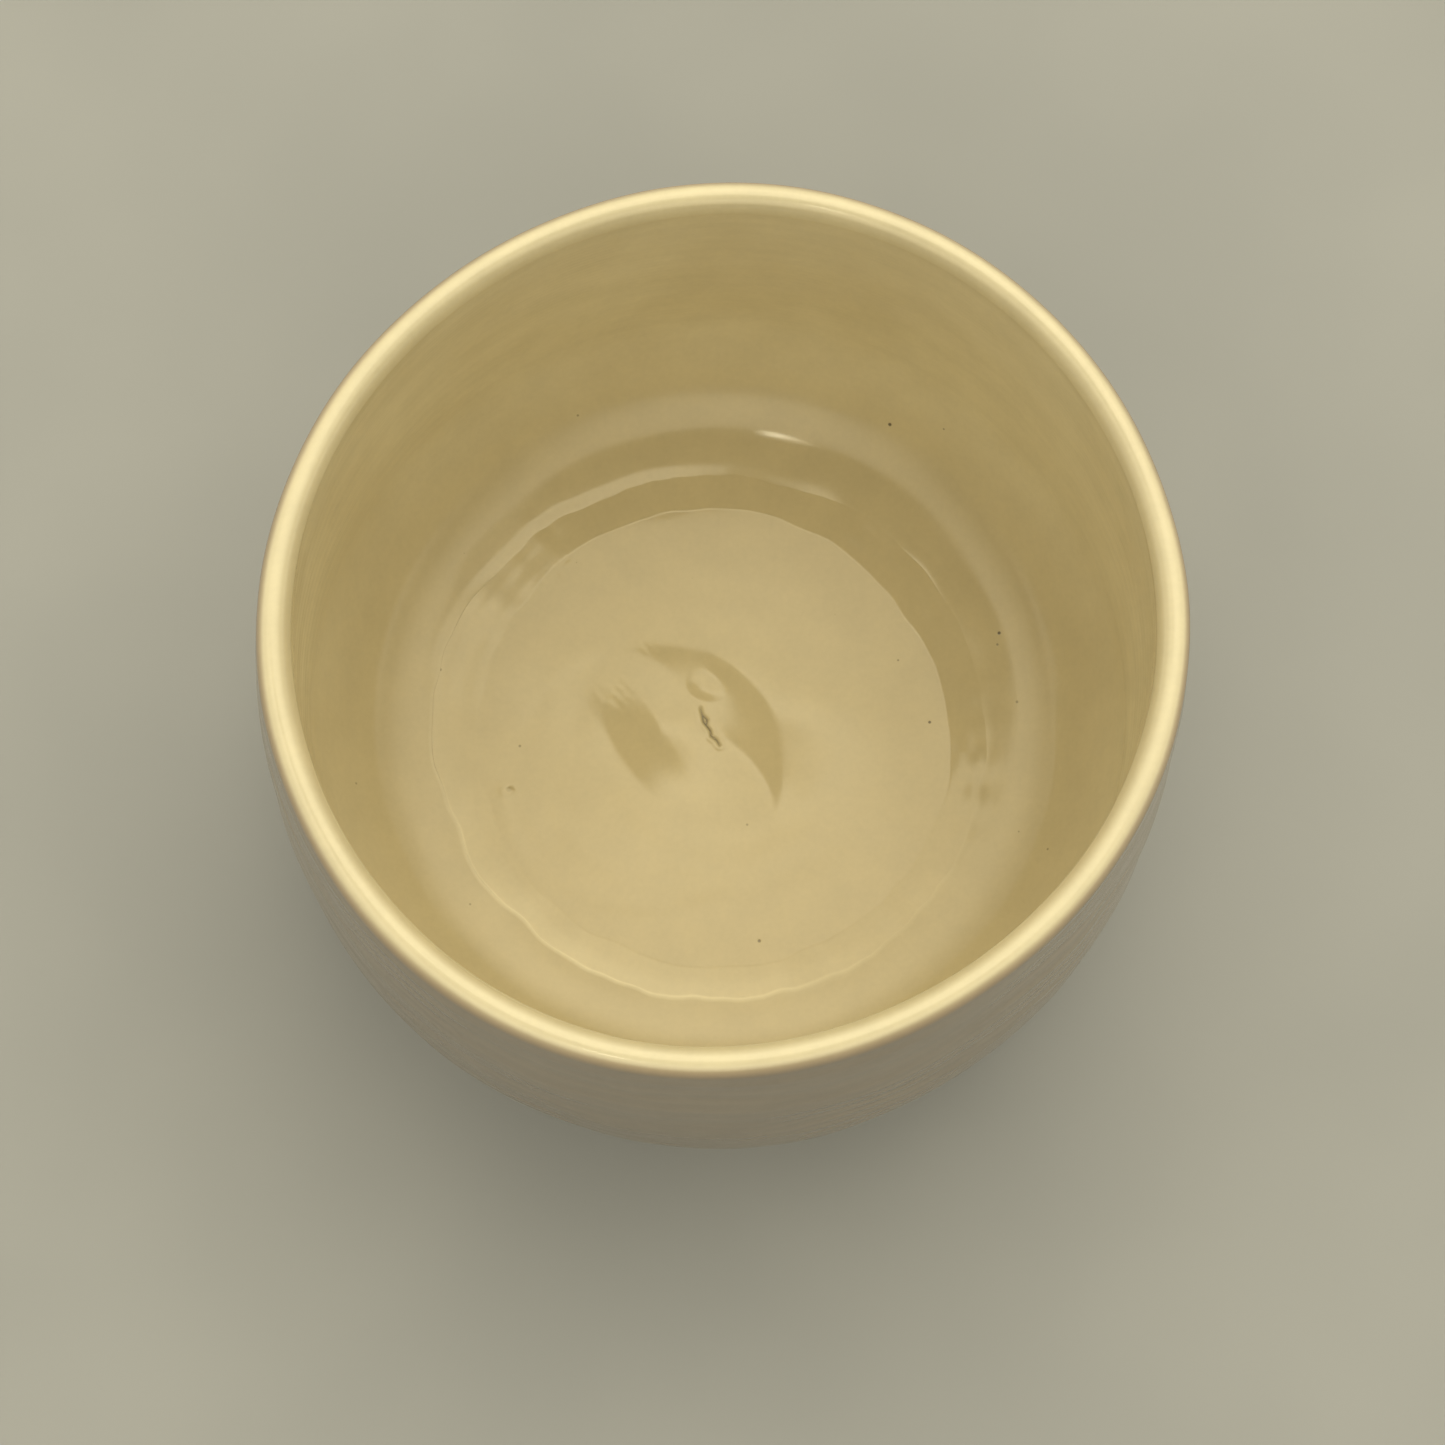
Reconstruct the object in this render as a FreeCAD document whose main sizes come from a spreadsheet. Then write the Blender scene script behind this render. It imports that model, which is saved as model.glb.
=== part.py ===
import FreeCAD, Part
import math
import os
import Sketcher

# Wheel-thrown tea bowl: a stoneware body on a luted foot ring, under four separate coats of glaze.
# Millimetres. +Z is up. The origin is on the bowl's axis, at the level that the foot stands on.

SIZES = {
    # clay body, outside
    "base_radius": 29.0,
    "base_level": 7.0,
    "hip_radius": 62.0,
    "hip_level": 29.5,
    "hip_bend": 20.5,
    # lip
    "mouth_radius": 57.6,
    "lip_bend": 1.6,
    "rim_level": 73.5,
    # clay body, inside
    "inner_hip_radius": 57.8,
    "inner_hip_level": 33.0,
    "cove_bend": 18.0,
    "well_radius": 40.0,
    "well_floor_radius": 34.0,
    "well_floor_level": 13.4,
    # coats of glaze
    "coat": 0.5,
    "well_coat": 0.8,
    "lip_coat_drop": 5.0,
    "glaze_line_radius": 33.0,
    # surface inside the clay that parts the inner coat from the outer one
    "parting_radius": 58.5,
    "parting_corner_level": 26.0,
    "parting_floor_radius": 44.0,
    "parting_floor_level": 12.0,
    # foot ring
    "foot_root_radius": 28.8,
    "foot_outer_radius": 27.8,
    "foot_inner_radius": 23.6,
    "foot_recess_radius": 22.4,
    "foot_edge_round": 0.9,
}
CLEAR = "100"  # reach of the zone solids past the bowl
START, END, CENTRE = 1, 2, 3
ORIGIN = (-1, 1)
LEVEL_TOLERANCE = 1e-6


def make_sheet(doc):
    """The driving dimensions, one alias to a row."""
    sheet = doc.addObject("Spreadsheet::Sheet", "Sizes")
    for row, (alias, size) in enumerate(SIZES.items(), start=1):
        sheet.set(f"A{row}", alias)
        sheet.set(f"B{row}", str(size))
        sheet.setAlias(f"B{row}", alias)
    doc.recompute()


def value(expression):
    """The number that a sum or difference of sizes and plain numbers comes to."""
    total = 0.0
    sign = 1
    for word in expression.split():
        if word in ("+", "-"):
            sign = 1 if word == "+" else -1
        elif word.startswith("Sizes."):
            total += sign * SIZES[word.removeprefix("Sizes.")]
        else:
            total += sign * float(word)
    return total


class Section:
    """A half section in a body's XZ plane: a chain of lines and arcs, tied to the sheet.

    Places are pairs of expressions: the distance from the axis, and the height.
    """

    def __init__(self, body):
        self.sketch = body.newObject("Sketcher::SketchObject", body.Name + "_section")
        plane = next(f for f in body.Origin.OriginFeatures if f.Role == "XZ_Plane")
        self.sketch.AttachmentSupport = [(plane, "")]
        self.sketch.MapMode = "FlatFace"
        self.chain = []
        self.bound = 0

    def at(self, place):
        return FreeCAD.Vector(value(place[0]), value(place[1]), 0)

    def bind(self, kind, *where, to):
        """Adds a dimension and ties it to an expression of the sheet."""
        self.bound += 1
        name = f"bound_{self.bound}"
        index = self.sketch.addConstraint(Sketcher.Constraint(kind, *where, value(to)))
        self.sketch.renameConstraint(index, name)
        self.sketch.setExpression("Constraints." + name, to)

    def fix(self, spot, place):
        """Ties a point of the sketch to a place. None leaves that direction free."""
        for kind, expression in zip(("DistanceX", "DistanceY"), place):
            if expression is not None:
                self.bind(kind, *ORIGIN, *spot, to=expression)

    def add(self, shape, start, smooth):
        """Adds a segment that starts at start, ties it to the one before, and returns its two ends."""
        index = self.sketch.addGeometry(shape, False)
        ends = [(index, START), (index, END)]
        ends.sort(key=lambda end: (self.sketch.getPoint(*end) - start).Length)
        if self.chain:
            kind = "Tangent" if smooth else "Coincident"
            self.sketch.addConstraint(Sketcher.Constraint(kind, *self.chain[-1][1], *ends[0]))
        self.chain.append(ends)
        return ends

    def line(self, start, end, smooth=False):
        return self.add(Part.LineSegment(start, end), start, smooth)

    def arc(self, start, middle, end, smooth=False):
        return self.add(Part.Arc(start, middle, end), start, smooth)

    def constrain(self, kind, *where):
        self.sketch.addConstraint(Sketcher.Constraint(kind, *where))

    def close(self):
        """Joins the last segment to the first."""
        self.constrain("Coincident", *self.chain[-1][1], *self.chain[0][0])

    def polygon(self, places):
        """A closed outline with straight sides."""
        points = [self.at(place) for place in places]
        for start, end, place in zip(points, points[1:] + points[:1], places):
            self.fix(self.line(start, end)[0], place)
        self.close()


def revolve(body, sketch):
    turn = body.newObject("PartDesign::Revolution", body.Name + "_turn")
    turn.Profile = sketch
    turn.ReferenceAxis = (sketch, ["V_Axis"])
    turn.Angle = 360
    sketch.Visibility = False
    return turn


def on_circle(centre, radius, angle):
    return centre + FreeCAD.Vector(radius * math.cos(angle), radius * math.sin(angle), 0)


def upright_arc_middle(upright, other):
    """Middle of the arc from upright, where it runs vertically, to other."""
    across = upright.x - other.x
    rise = other.y - upright.y
    radius = (across**2 + rise**2) / (2 * across)
    centre = FreeCAD.Vector(upright.x - radius, upright.y, 0)
    return on_circle(centre, radius, math.atan2(rise, radius - across) / 2)


def level_arc_middle(level, other):
    """Middle of the arc from level, where it runs horizontally, to other, above it."""
    across = other.x - level.x
    rise = other.y - level.y
    radius = (across**2 + rise**2) / (2 * rise)
    centre = FreeCAD.Vector(level.x, level.y + radius, 0)
    return on_circle(centre, radius, (math.atan2(-(radius - rise), across) - math.pi / 2) / 2)


def touch_from_below(point, centre, radius):
    """Where the line from point touches the lower side of a circle."""
    away = centre - point
    reach = math.sqrt(away.Length**2 - radius**2)
    heading = math.atan2(away.y, away.x) - math.asin(radius / away.Length)
    return on_circle(point, reach, heading)


def add_bowl_form(doc, name, coat, well_coat):
    """The bowl above its foot, grown all over by coat, and by well_coat on the floor of the well."""
    body = doc.addObject("PartDesign::Body", name)
    section = Section(body)
    base_level = f"Sizes.base_level - {coat}"
    floor_level = f"Sizes.well_floor_level + {well_coat}"
    hip_bend = value(f"Sizes.hip_bend + {coat}")
    cove_bend = value(f"Sizes.cove_bend - {coat}")
    lip_bend = value(f"Sizes.lip_bend + {coat}")
    hip_place = (f"Sizes.hip_radius + {coat}", "Sizes.hip_level")
    inner_hip_place = (f"Sizes.inner_hip_radius - {coat}", "Sizes.inner_hip_level")

    base_centre = section.at(("0", base_level))
    base_edge = section.at(("Sizes.base_radius", base_level))
    hip = section.at(hip_place)
    hip_centre = hip - FreeCAD.Vector(hip_bend, 0, 0)
    lip_centre = section.at(("Sizes.mouth_radius", "Sizes.rim_level - Sizes.lip_bend"))
    lip_outside = on_circle(lip_centre, lip_bend, 0)
    lip_inside = on_circle(lip_centre, lip_bend, math.pi)
    inner_hip = section.at(inner_hip_place)
    cove_centre = inner_hip - FreeCAD.Vector(cove_bend, 0, 0)
    crease_turn = -math.acos((value("Sizes.well_radius") - cove_centre.x) / cove_bend)
    crease = on_circle(cove_centre, cove_bend, crease_turn)
    well_floor = section.at(("Sizes.well_floor_radius", floor_level))
    floor_centre = section.at(("0", floor_level))

    # underside, hip and outer wall
    base = section.line(base_centre, base_edge)
    touch = touch_from_below(base_edge, hip_centre, hip_bend)
    section.line(base_edge, touch)
    hip_middle = on_circle(hip_centre, hip_bend, -math.pi / 4)
    hip_arc = section.arc(touch, hip_middle, hip, smooth=True)
    section.arc(hip, upright_arc_middle(hip, lip_outside), lip_outside, smooth=True)
    # rounded lip
    lip_top = on_circle(lip_centre, lip_bend, math.pi / 2)
    lip = section.arc(lip_outside, lip_top, lip_inside, smooth=True)
    # inner wall, cove, side of the well and its floor
    wall = section.arc(lip_inside, upright_arc_middle(inner_hip, lip_inside), inner_hip, smooth=True)
    cove_middle = on_circle(cove_centre, cove_bend, crease_turn / 2)
    cove = section.arc(inner_hip, cove_middle, crease, smooth=True)
    section.arc(crease, level_arc_middle(well_floor, crease), well_floor)
    floor = section.line(well_floor, floor_centre, smooth=True)
    section.line(floor_centre, base_centre)
    section.close()

    section.fix(base[0], ("0", base_level))
    section.fix(base[1], ("Sizes.base_radius", base_level))
    section.fix(hip_arc[1], hip_place)
    section.constrain("Horizontal", hip_arc[0][0], CENTRE, *hip_arc[1])
    section.bind("Radius", hip_arc[0][0], to=f"Sizes.hip_bend + {coat}")
    section.fix((lip[0][0], CENTRE), ("Sizes.mouth_radius", "Sizes.rim_level - Sizes.lip_bend"))
    section.bind("Radius", lip[0][0], to=f"Sizes.lip_bend + {coat}")
    section.fix(wall[1], inner_hip_place)
    section.constrain("Horizontal", wall[0][0], CENTRE, *wall[1])
    section.bind("Radius", cove[0][0], to=f"Sizes.cove_bend - {coat}")
    section.fix(cove[1], ("Sizes.well_radius", None))
    section.fix(floor[0], ("Sizes.well_floor_radius", floor_level))
    section.fix(floor[1], ("0", floor_level))
    revolve(body, section.sketch)
    return body


def add_parting_form(doc):
    """Everything inside a surface in the middle of the clay, from the floor to above the lip."""
    body = doc.addObject("PartDesign::Body", "parting_form")
    section = Section(body)
    top = f"Sizes.rim_level + {CLEAR}"
    section.polygon(
        [
            ("0", "Sizes.parting_floor_level"),
            ("Sizes.parting_floor_radius", "Sizes.parting_floor_level"),
            ("Sizes.parting_radius", "Sizes.parting_corner_level"),
            ("Sizes.parting_radius", top),
            ("0", top),
        ]
    )
    revolve(body, section.sketch)
    return body


def add_foot_ring(doc):
    """The turned clay ring under the base, with eased lower edges and a flat to stand on."""
    body = doc.addObject("PartDesign::Body", "foot_ring")
    section = Section(body)
    section.polygon(
        [
            ("Sizes.foot_recess_radius", "Sizes.base_level"),
            ("Sizes.foot_inner_radius", "0"),
            ("Sizes.foot_outer_radius", "0"),
            ("Sizes.foot_root_radius", "Sizes.base_level"),
        ]
    )
    turn = revolve(body, section.sketch)
    doc.recompute()
    ease = body.newObject("PartDesign::Fillet", "foot_edges")
    edges = enumerate(turn.Shape.Edges, start=1)
    ease.Base = (turn, [f"Edge{n}" for n, edge in edges if is_level_ring(edge, 0)])
    ease.setExpression("Radius", "Sizes.foot_edge_round")
    body.Tip = ease
    return body


def is_level_ring(edge, level):
    box = edge.BoundBox
    return abs(box.ZMin - level) < LEVEL_TOLERANCE and abs(box.ZMax - level) < LEVEL_TOLERANCE


def add_zone(doc, name, radius, bottom, height):
    """A plain cylinder that picks out one stretch of the glaze."""
    zone = doc.addObject("Part::Cylinder", name)
    zone.setExpression("Radius", radius)
    zone.setExpression("Height", height)
    zone.setExpression("Placement.Base.z", bottom)
    return zone


def add_boolean(doc, kind, name, base, tool):
    """kind is Cut for base without tool, or Common for what both share."""
    result = doc.addObject("Part::" + kind, name)
    result.Base = base
    result.Tool = tool
    return result


def add_glazes(doc, clay_body):
    """The four coats: the glazed form without its clay, parted where one coat gives way to the next."""
    glazed_form = add_bowl_form(doc, "glazed_form", "Sizes.coat", "Sizes.well_coat")
    parting_form = add_parting_form(doc)
    lip_zone = add_zone(doc, "lip_zone", CLEAR, "Sizes.rim_level - Sizes.lip_coat_drop", CLEAR)
    well_zone = add_zone(doc, "well_zone", "Sizes.well_radius", "0", CLEAR)
    foot_zone = add_zone(doc, "foot_zone", "Sizes.glaze_line_radius", "0", "2 * Sizes.base_level")
    all_glaze = add_boolean(doc, "Cut", "all_glaze", glazed_form, clay_body)
    wall_glaze = add_boolean(doc, "Cut", "wall_glaze", all_glaze, lip_zone)
    inner_coat = add_boolean(doc, "Common", "inner_coat", wall_glaze, parting_form)
    outer_coat = add_boolean(doc, "Cut", "outer_coat", wall_glaze, parting_form)
    return [
        add_boolean(doc, "Common", "lip_glaze", all_glaze, lip_zone),
        add_boolean(doc, "Cut", "inside_glaze", inner_coat, well_zone),
        add_boolean(doc, "Common", "well_glaze", inner_coat, well_zone),
        add_boolean(doc, "Cut", "outside_glaze", outer_coat, foot_zone),
    ]


def check(doc, pieces):
    """Stops unless every feature is sound, every sketch is fully tied and every piece is one solid."""
    for feature in doc.Objects:
        if {"Invalid", "Error"} & set(feature.State):
            raise RuntimeError(f"{feature.Name} failed: {feature.State}")
        if feature.isDerivedFrom("Sketcher::SketchObject") and not feature.FullyConstrained:
            raise RuntimeError(f"{feature.Name} is not fully constrained")
    for piece in pieces:
        shape = piece.Shape
        if shape.isNull() or not shape.isValid() or len(shape.Solids) != 1:
            raise RuntimeError(f"{piece.Label} is not one sound solid")
        box = shape.optimalBoundingBox(False, False)
        reach = f"radius {box.XMax:.2f}, z {box.ZMin:.2f} to {box.ZMax:.2f}"
        print(f"{piece.Label}: {shape.Volume:.0f} mm3, {reach}")


def main():
    doc = FreeCAD.newDocument("tea_bowl")
    make_sheet(doc)
    clay_body = add_bowl_form(doc, "clay_body", "0", "0")
    foot_ring = add_foot_ring(doc)
    pieces = [clay_body, foot_ring, *add_glazes(doc, clay_body)]
    for piece in pieces:
        piece.Label = piece.Name
        piece.Placement = FreeCAD.Placement()
    doc.recompute()
    check(doc, pieces)
    os.makedirs("parts", exist_ok=True)
    for piece in pieces:
        piece.Shape.exportStep(f"parts/{piece.Label}.step")


main()
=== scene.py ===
import math

import bpy
import numpy as np
from mathutils import Matrix, Vector


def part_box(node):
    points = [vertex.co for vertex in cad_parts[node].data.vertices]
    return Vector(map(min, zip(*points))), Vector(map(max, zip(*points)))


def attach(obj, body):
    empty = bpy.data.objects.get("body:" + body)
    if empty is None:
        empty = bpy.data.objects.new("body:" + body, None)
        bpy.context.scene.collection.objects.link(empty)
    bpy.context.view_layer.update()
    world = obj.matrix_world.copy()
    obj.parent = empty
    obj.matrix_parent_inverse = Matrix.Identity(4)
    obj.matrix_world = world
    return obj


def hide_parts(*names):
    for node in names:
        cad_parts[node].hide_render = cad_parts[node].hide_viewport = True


# Wheel-thrown tea bowl. Every shape below is worked out in millimetres round the bowl's axis, from
# one half section of the glazed surface, and turned into metres when its mesh is made.

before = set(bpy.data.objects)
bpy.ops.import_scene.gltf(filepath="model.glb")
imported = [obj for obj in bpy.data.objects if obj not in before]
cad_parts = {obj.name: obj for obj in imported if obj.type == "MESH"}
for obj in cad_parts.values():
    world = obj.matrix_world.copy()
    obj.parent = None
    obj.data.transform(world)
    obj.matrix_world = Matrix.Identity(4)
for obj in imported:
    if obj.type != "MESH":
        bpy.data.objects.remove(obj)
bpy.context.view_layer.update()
MM = 0.001
TURN = 2 * math.pi


def edges(node):
    """Radius, lowest level and highest level of a CAD node, in millimetres."""
    low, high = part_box(node)
    return (high.x - low.x) / 2 / MM, low.z / MM, high.z / MM


HIP_RADIUS = edges("outside_glaze")[0]
RIM_TOP = edges("lip_glaze")[2]
SEAM_LEVEL = edges("lip_glaze")[1]
FOOT_RADIUS, FOOT_BOTTOM, FOOT_TOP = edges("foot_ring")
COAT = HIP_RADIUS - edges("clay_body")[0]
INNER_RADIUS = edges("inside_glaze")[0] - COAT
FLOOR_COAT = 0.8
CLAY_GAP = 0.05  # between a coat and the clay, so that their hidden faces don't meet
FLOOR_LEVEL = edges("well_glaze")[1] + FLOOR_COAT

# Centres and radii of the arcs that the glazed half section is made of.
HIP_LEVEL, HIP_BEND = 29.5, 21.0
LIP_BEND = 2.1
LIP_CENTRE = (57.6, RIM_TOP - LIP_BEND)
COVE_LEVEL, COVE_BEND = 33.0, 17.5
COVE_CENTRE = INNER_RADIUS - COVE_BEND
WELL_RADIUS = 39.7
BANK_FOOT = 34.6  # where the floor of the well turns up
ROOT = (29.0, FOOT_TOP - COAT)

RECESS_RADIUS = 22.4
FOOT_INNER, FOOT_OUTER = 23.6, 27.8
FOOT_ROUND = 0.9

# Faces round the bowl.
SEGMENTS = 720
UNDERSIDE_SEGMENTS = 360
HIDDEN_SEGMENTS = 180  # clay under the glaze
WELL_UNDER_SEGMENTS = 90


def smooth(start, end, x):
    t = np.clip((x - start) / (end - start), 0.0, 1.0)
    return t * t * (3.0 - 2.0 * t)


def bell(x, width):
    return np.exp(-((x / width) ** 2))


def slide(x, start, end, soft=0.7):
    """Rises one for one between start and end and stays level outside them, with soft corners."""
    return 0.5 * (np.hypot(x - start, soft) - np.hypot(x - end, soft) + end - start)


class Unevenness:
    """A smooth uneven field about one unit high, made of plane waves in scattered directions."""

    def __init__(self, seed, wavelength, waves=26):
        rng = np.random.default_rng(seed)
        heading = rng.normal(size=(waves, 3))
        heading /= np.linalg.norm(heading, axis=1, keepdims=True)
        length = wavelength * rng.uniform(0.7, 1.4, (waves, 1))
        self.heading = heading * TURN / length
        self.phase = rng.uniform(0, TURN, waves)
        self.gain = math.sqrt(2.0 / waves)

    def __call__(self, p):
        return self.gain * np.cos(p @ self.heading.T + self.phase).sum(-1)


# ---------------------------------------------------------------- the half section


def arc(centre, radius, start, end):
    count = max(3, int(abs(math.radians(end - start)) * radius / 0.02))
    a = np.radians(np.linspace(start, end, count))
    return np.stack([centre[0] + radius * np.cos(a), centre[1] + radius * np.sin(a)], 1)


def straight(a, b):
    count = max(3, int(math.hypot(b[0] - a[0], b[1] - a[1]) / 0.02))
    return np.linspace(a, b, count)


def wall_radius(radius, level, side):
    """Radius of a wall's arc that is upright at (radius, level) and meets the lip's circle."""
    rise, reach = LIP_CENTRE[1] - level, LIP_CENTRE[0] - radius
    bend = side * LIP_BEND
    return (reach * reach + rise * rise - bend * bend) / (-2.0 * (reach + bend))


def section():
    """Points (distance from the axis, height) of the glazed surface.

    They run from the foot, over the lip, to just inside the edge of the well.
    """
    hip_centre = (HIP_RADIUS - HIP_BEND, HIP_LEVEL)
    reach, rise = hip_centre[0] - ROOT[0], hip_centre[1] - ROOT[1]
    away = math.hypot(reach, rise)
    slope = math.atan2(rise, reach) - math.asin(HIP_BEND / away)
    run = math.sqrt(away * away - HIP_BEND * HIP_BEND)
    touch = (ROOT[0] + run * math.cos(slope), ROOT[1] + run * math.sin(slope))

    outer = wall_radius(HIP_RADIUS, HIP_LEVEL, 1)
    outer_centre = HIP_RADIUS - outer
    outer_lean = math.degrees(math.atan2(LIP_CENTRE[1] - HIP_LEVEL, LIP_CENTRE[0] - outer_centre))
    inner = wall_radius(INNER_RADIUS, COVE_LEVEL, -1)
    inner_centre = INNER_RADIUS - inner
    inner_lean = math.degrees(math.atan2(LIP_CENTRE[1] - COVE_LEVEL, LIP_CENTRE[0] - inner_centre))

    parts = [
        straight(ROOT, touch),
        arc(hip_centre, HIP_BEND, math.degrees(slope) - 90, 0),
        arc((outer_centre, HIP_LEVEL), outer, 0, outer_lean),
        arc(LIP_CENTRE, LIP_BEND, outer_lean, 180 + inner_lean),
        arc((inner_centre, COVE_LEVEL), inner, inner_lean, 0),
        arc((COVE_CENTRE, COVE_LEVEL), COVE_BEND, 0, -90),
        straight((COVE_CENTRE, COVE_LEVEL - COVE_BEND), (COVE_CENTRE - 4, COVE_LEVEL - COVE_BEND)),
    ]
    return np.concatenate([parts[0]] + [p[1:] for p in parts[1:]])


LINE = section()
STEPS = np.linalg.norm(np.diff(LINE, axis=0), axis=1)
RUN = np.concatenate([[0.0], np.cumsum(STEPS)])
HEADING = np.gradient(LINE, RUN, axis=0)
HEADING /= np.linalg.norm(HEADING, axis=1, keepdims=True)
TOP = int(np.argmax(LINE[:, 1]))
TOP_RUN = RUN[TOP]
RISING = HEADING[:, 1] > 0.5
SEAM_OUT = float(np.interp(SEAM_LEVEL, LINE[RISING, 1][:TOP], RUN[RISING][:TOP]))
INNER_LINE = np.arange(len(LINE)) > TOP
DOWN = INNER_LINE & (HEADING[:, 1] < -0.5)
SEAM_IN = float(np.interp(-SEAM_LEVEL, -LINE[DOWN, 1], RUN[DOWN]))


def run_at_radius(radius):
    """Where the section's inside passes a radius, on the cove."""
    cove = INNER_LINE & (LINE[:, 1] < COVE_LEVEL)
    return np.interp(-radius, -LINE[cove, 0], RUN[cove])


# ---------------------------------------------------------------- the hand-made unevenness

broad_out, broad_in, broad_lip = Unevenness(3, 46), Unevenness(4, 40), Unevenness(5, 30)
soft_out, soft_in, soft_floor = Unevenness(6, 15), Unevenness(7, 17), Unevenness(8, 19)
fine_edge, pitted, ripple = Unevenness(9, 5), Unevenness(10, 1.3), Unevenness(11, 7)

# The drying crack in the well's floor, and the short branch beside it.
CRACK = [
    (-2.5, 3.3), (-2.2, 2.4), (-1.4, 1.7), (-1.5, 0.9),
    (-0.8, 0.1), (-0.6, -0.7), (0.2, -1.2), (0.7, -1.9),
]
CRACK_SIDE = [(-2.2, 2.4), (-1.9, 1.3), (-1.5, 0.9)]


def crease_radius(theta):
    """The well's edge: a circle with small nicks and a bulge on the left."""
    around = np.stack([42 * np.cos(theta), 42 * np.sin(theta), 0 * theta], -1)
    wander = 0.12 * fine_edge(around) + 0.20 * soft_in(around)
    left = bell(np.angle(np.exp(1j * (theta - math.radians(172)))), 0.55)
    return WELL_RADIUS + 1.9 * left + wander


def bank_foot_radius(theta):
    """Where the well's bank meets its floor: a little nearer the centre at the far right."""
    around = np.stack([34 * np.cos(theta), 34 * np.sin(theta), 0 * theta], -1)
    early = bell(np.angle(np.exp(1j * (theta - math.radians(42)))), 0.55)
    return BANK_FOOT - 1.5 * early + 0.18 * ripple(around)


def distance_to_line(p, corners):
    """Distance from each point's (x, y) to an open line of corners."""
    best = np.full(p.shape[:-1], 1e9)
    for a, b in zip(corners, corners[1:]):
        a, b = np.array(a), np.array(b)
        along = np.clip(((p[..., :2] - a) @ (b - a)) / ((b - a) @ (b - a)), 0, 1)
        best = np.minimum(best, np.linalg.norm(p[..., :2] - a - along[..., None] * (b - a), axis=-1))
    return best


def floor_relief(p):
    """Height of the well's floor over its level: what the fingers left at the centre of the turning."""
    x, y = p[..., 0], p[..., 1]
    height = 0.022 * soft_floor(p) + 0.003 * ripple(p)
    # two curved finger steps that rise to the far right, and the button left between them
    away, turn = np.hypot(x + 10, y + 8), np.degrees(np.arctan2(y + 8, x + 10))
    end_on = smooth(6, 62, np.abs(turn - 46))
    far_step = slide(away, 13.2 + 6.4 * end_on, 21.6 - 1.7 * end_on) * (1 - smooth(23, 44, away))
    button = 1 - smooth(0.2, 3.6, np.hypot(x + 1.6, (y - 7.2) * 1.2))
    height += 0.115 * (far_step + button * (4.2 - far_step))
    along, over = (x - y) / math.sqrt(2), (x + y) / math.sqrt(2)
    near_step = slide(over + 0.15 * (along + 7), -12.6, -5.6) * (1 - smooth(-5, 7, over))
    height += 0.105 * near_step * bell(along + 6.5, 7.5)
    spin = np.hypot(x + 0.6, y)
    swirl = np.sin(TURN * spin / 6.5 - turn / 57.3)
    height += 0.012 * swirl * smooth(12, 17, spin) * (1 - smooth(24, 31, spin))
    height += 0.05 * bell(np.hypot(x + 29.5, y + 11), 1.0) - 0.12 * bell(np.hypot(x + 29.2, y + 11.1), 0.5)
    rough = bell(np.hypot(x + 24, y - 22.5), 3.4) + 0.6 * bell(np.hypot(x + 15, y - 4), 3.0)
    rough += 0.7 * bell(np.hypot(x + 12, y - 11), 2.6)
    height += 0.008 * pitted(p) * np.minimum(rough, 1)
    crack = np.minimum(distance_to_line(p, CRACK), distance_to_line(p, CRACK_SIDE))
    height -= 0.20 * bell(crack, 0.22) - 0.04 * bell(crack - 0.5, 0.35)
    return height


def skin_relief(s, theta, p):
    """How far the glaze stands out, in millimetres, along the section from the foot to the well's edge."""
    z = p[..., 2]
    outside = smooth(1.0, 12.0, s) * (1 - smooth(TOP_RUN - 7, TOP_RUN - 1.5, s))
    spiral = TURN * z / 4.2 + theta
    out = 0.10 * broad_out(p) + 0.035 * soft_out(p)
    out = out + 0.10 * np.sin(TURN * z / 15.5 + theta + 0.5 * broad_in(p))
    out = out + 0.035 * np.sin(spiral + 0.5 * soft_out(p)) * (0.65 + 0.35 * broad_lip(p))
    to_crease = run_at_radius(crease_radius(theta)) - s
    inside = smooth(TOP_RUN + 1.5, TOP_RUN + 8, s) * smooth(0.2, 2.5, to_crease)
    inn = 0.06 * broad_in(p) + 0.012 * soft_in(p)
    inn = inn + 0.022 * np.sin(TURN * z / 11.0 + theta + 0.5 * broad_out(p))
    inn = inn + 0.007 * np.sin(TURN * z / 3.1 + theta + 0.6 * soft_in(p)) * (0.65 + 0.35 * broad_lip(p))
    lip = bell(s - TOP_RUN, 5.0) * 0.07 * broad_lip(p)
    near_crease = np.maximum(1 - to_crease / 5.0, 0) * (s > TOP_RUN)
    ledge = (0.26 + 0.06 * soft_in(p)) * near_crease ** 2
    return outside * out + inside * inn + lip - ledge


def stretch(theta, z):
    """How much wider the bowl is than a round one: out-of-round that grows from the foot to the mouth."""
    return 1 + smooth(10.0, RIM_TOP, z) * (
        -0.005 * np.cos(2 * theta) + 0.0115 * np.sin(2 * theta)
        + 0.002 * np.cos(3 * theta) - 0.001 * np.sin(3 * theta)
        + 0.0035 * np.cos(4 * theta) - 0.0025 * np.sin(4 * theta)
    )


def settle(p):
    """Puts points of a round bowl out of round, and gives it a mouth that isn't quite level."""
    x, y, z = p[..., 0], p[..., 1], p[..., 2]
    theta = np.arctan2(y, x)
    wide = stretch(theta, z)
    waver = 0.16 * np.cos(2 * theta - 0.7) + 0.07 * np.cos(3 * theta + 1.1) - 0.2
    return np.stack([x * wide, y * wide, z + smooth(10.0, RIM_TOP, z) ** 3 * waver], -1)


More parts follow.
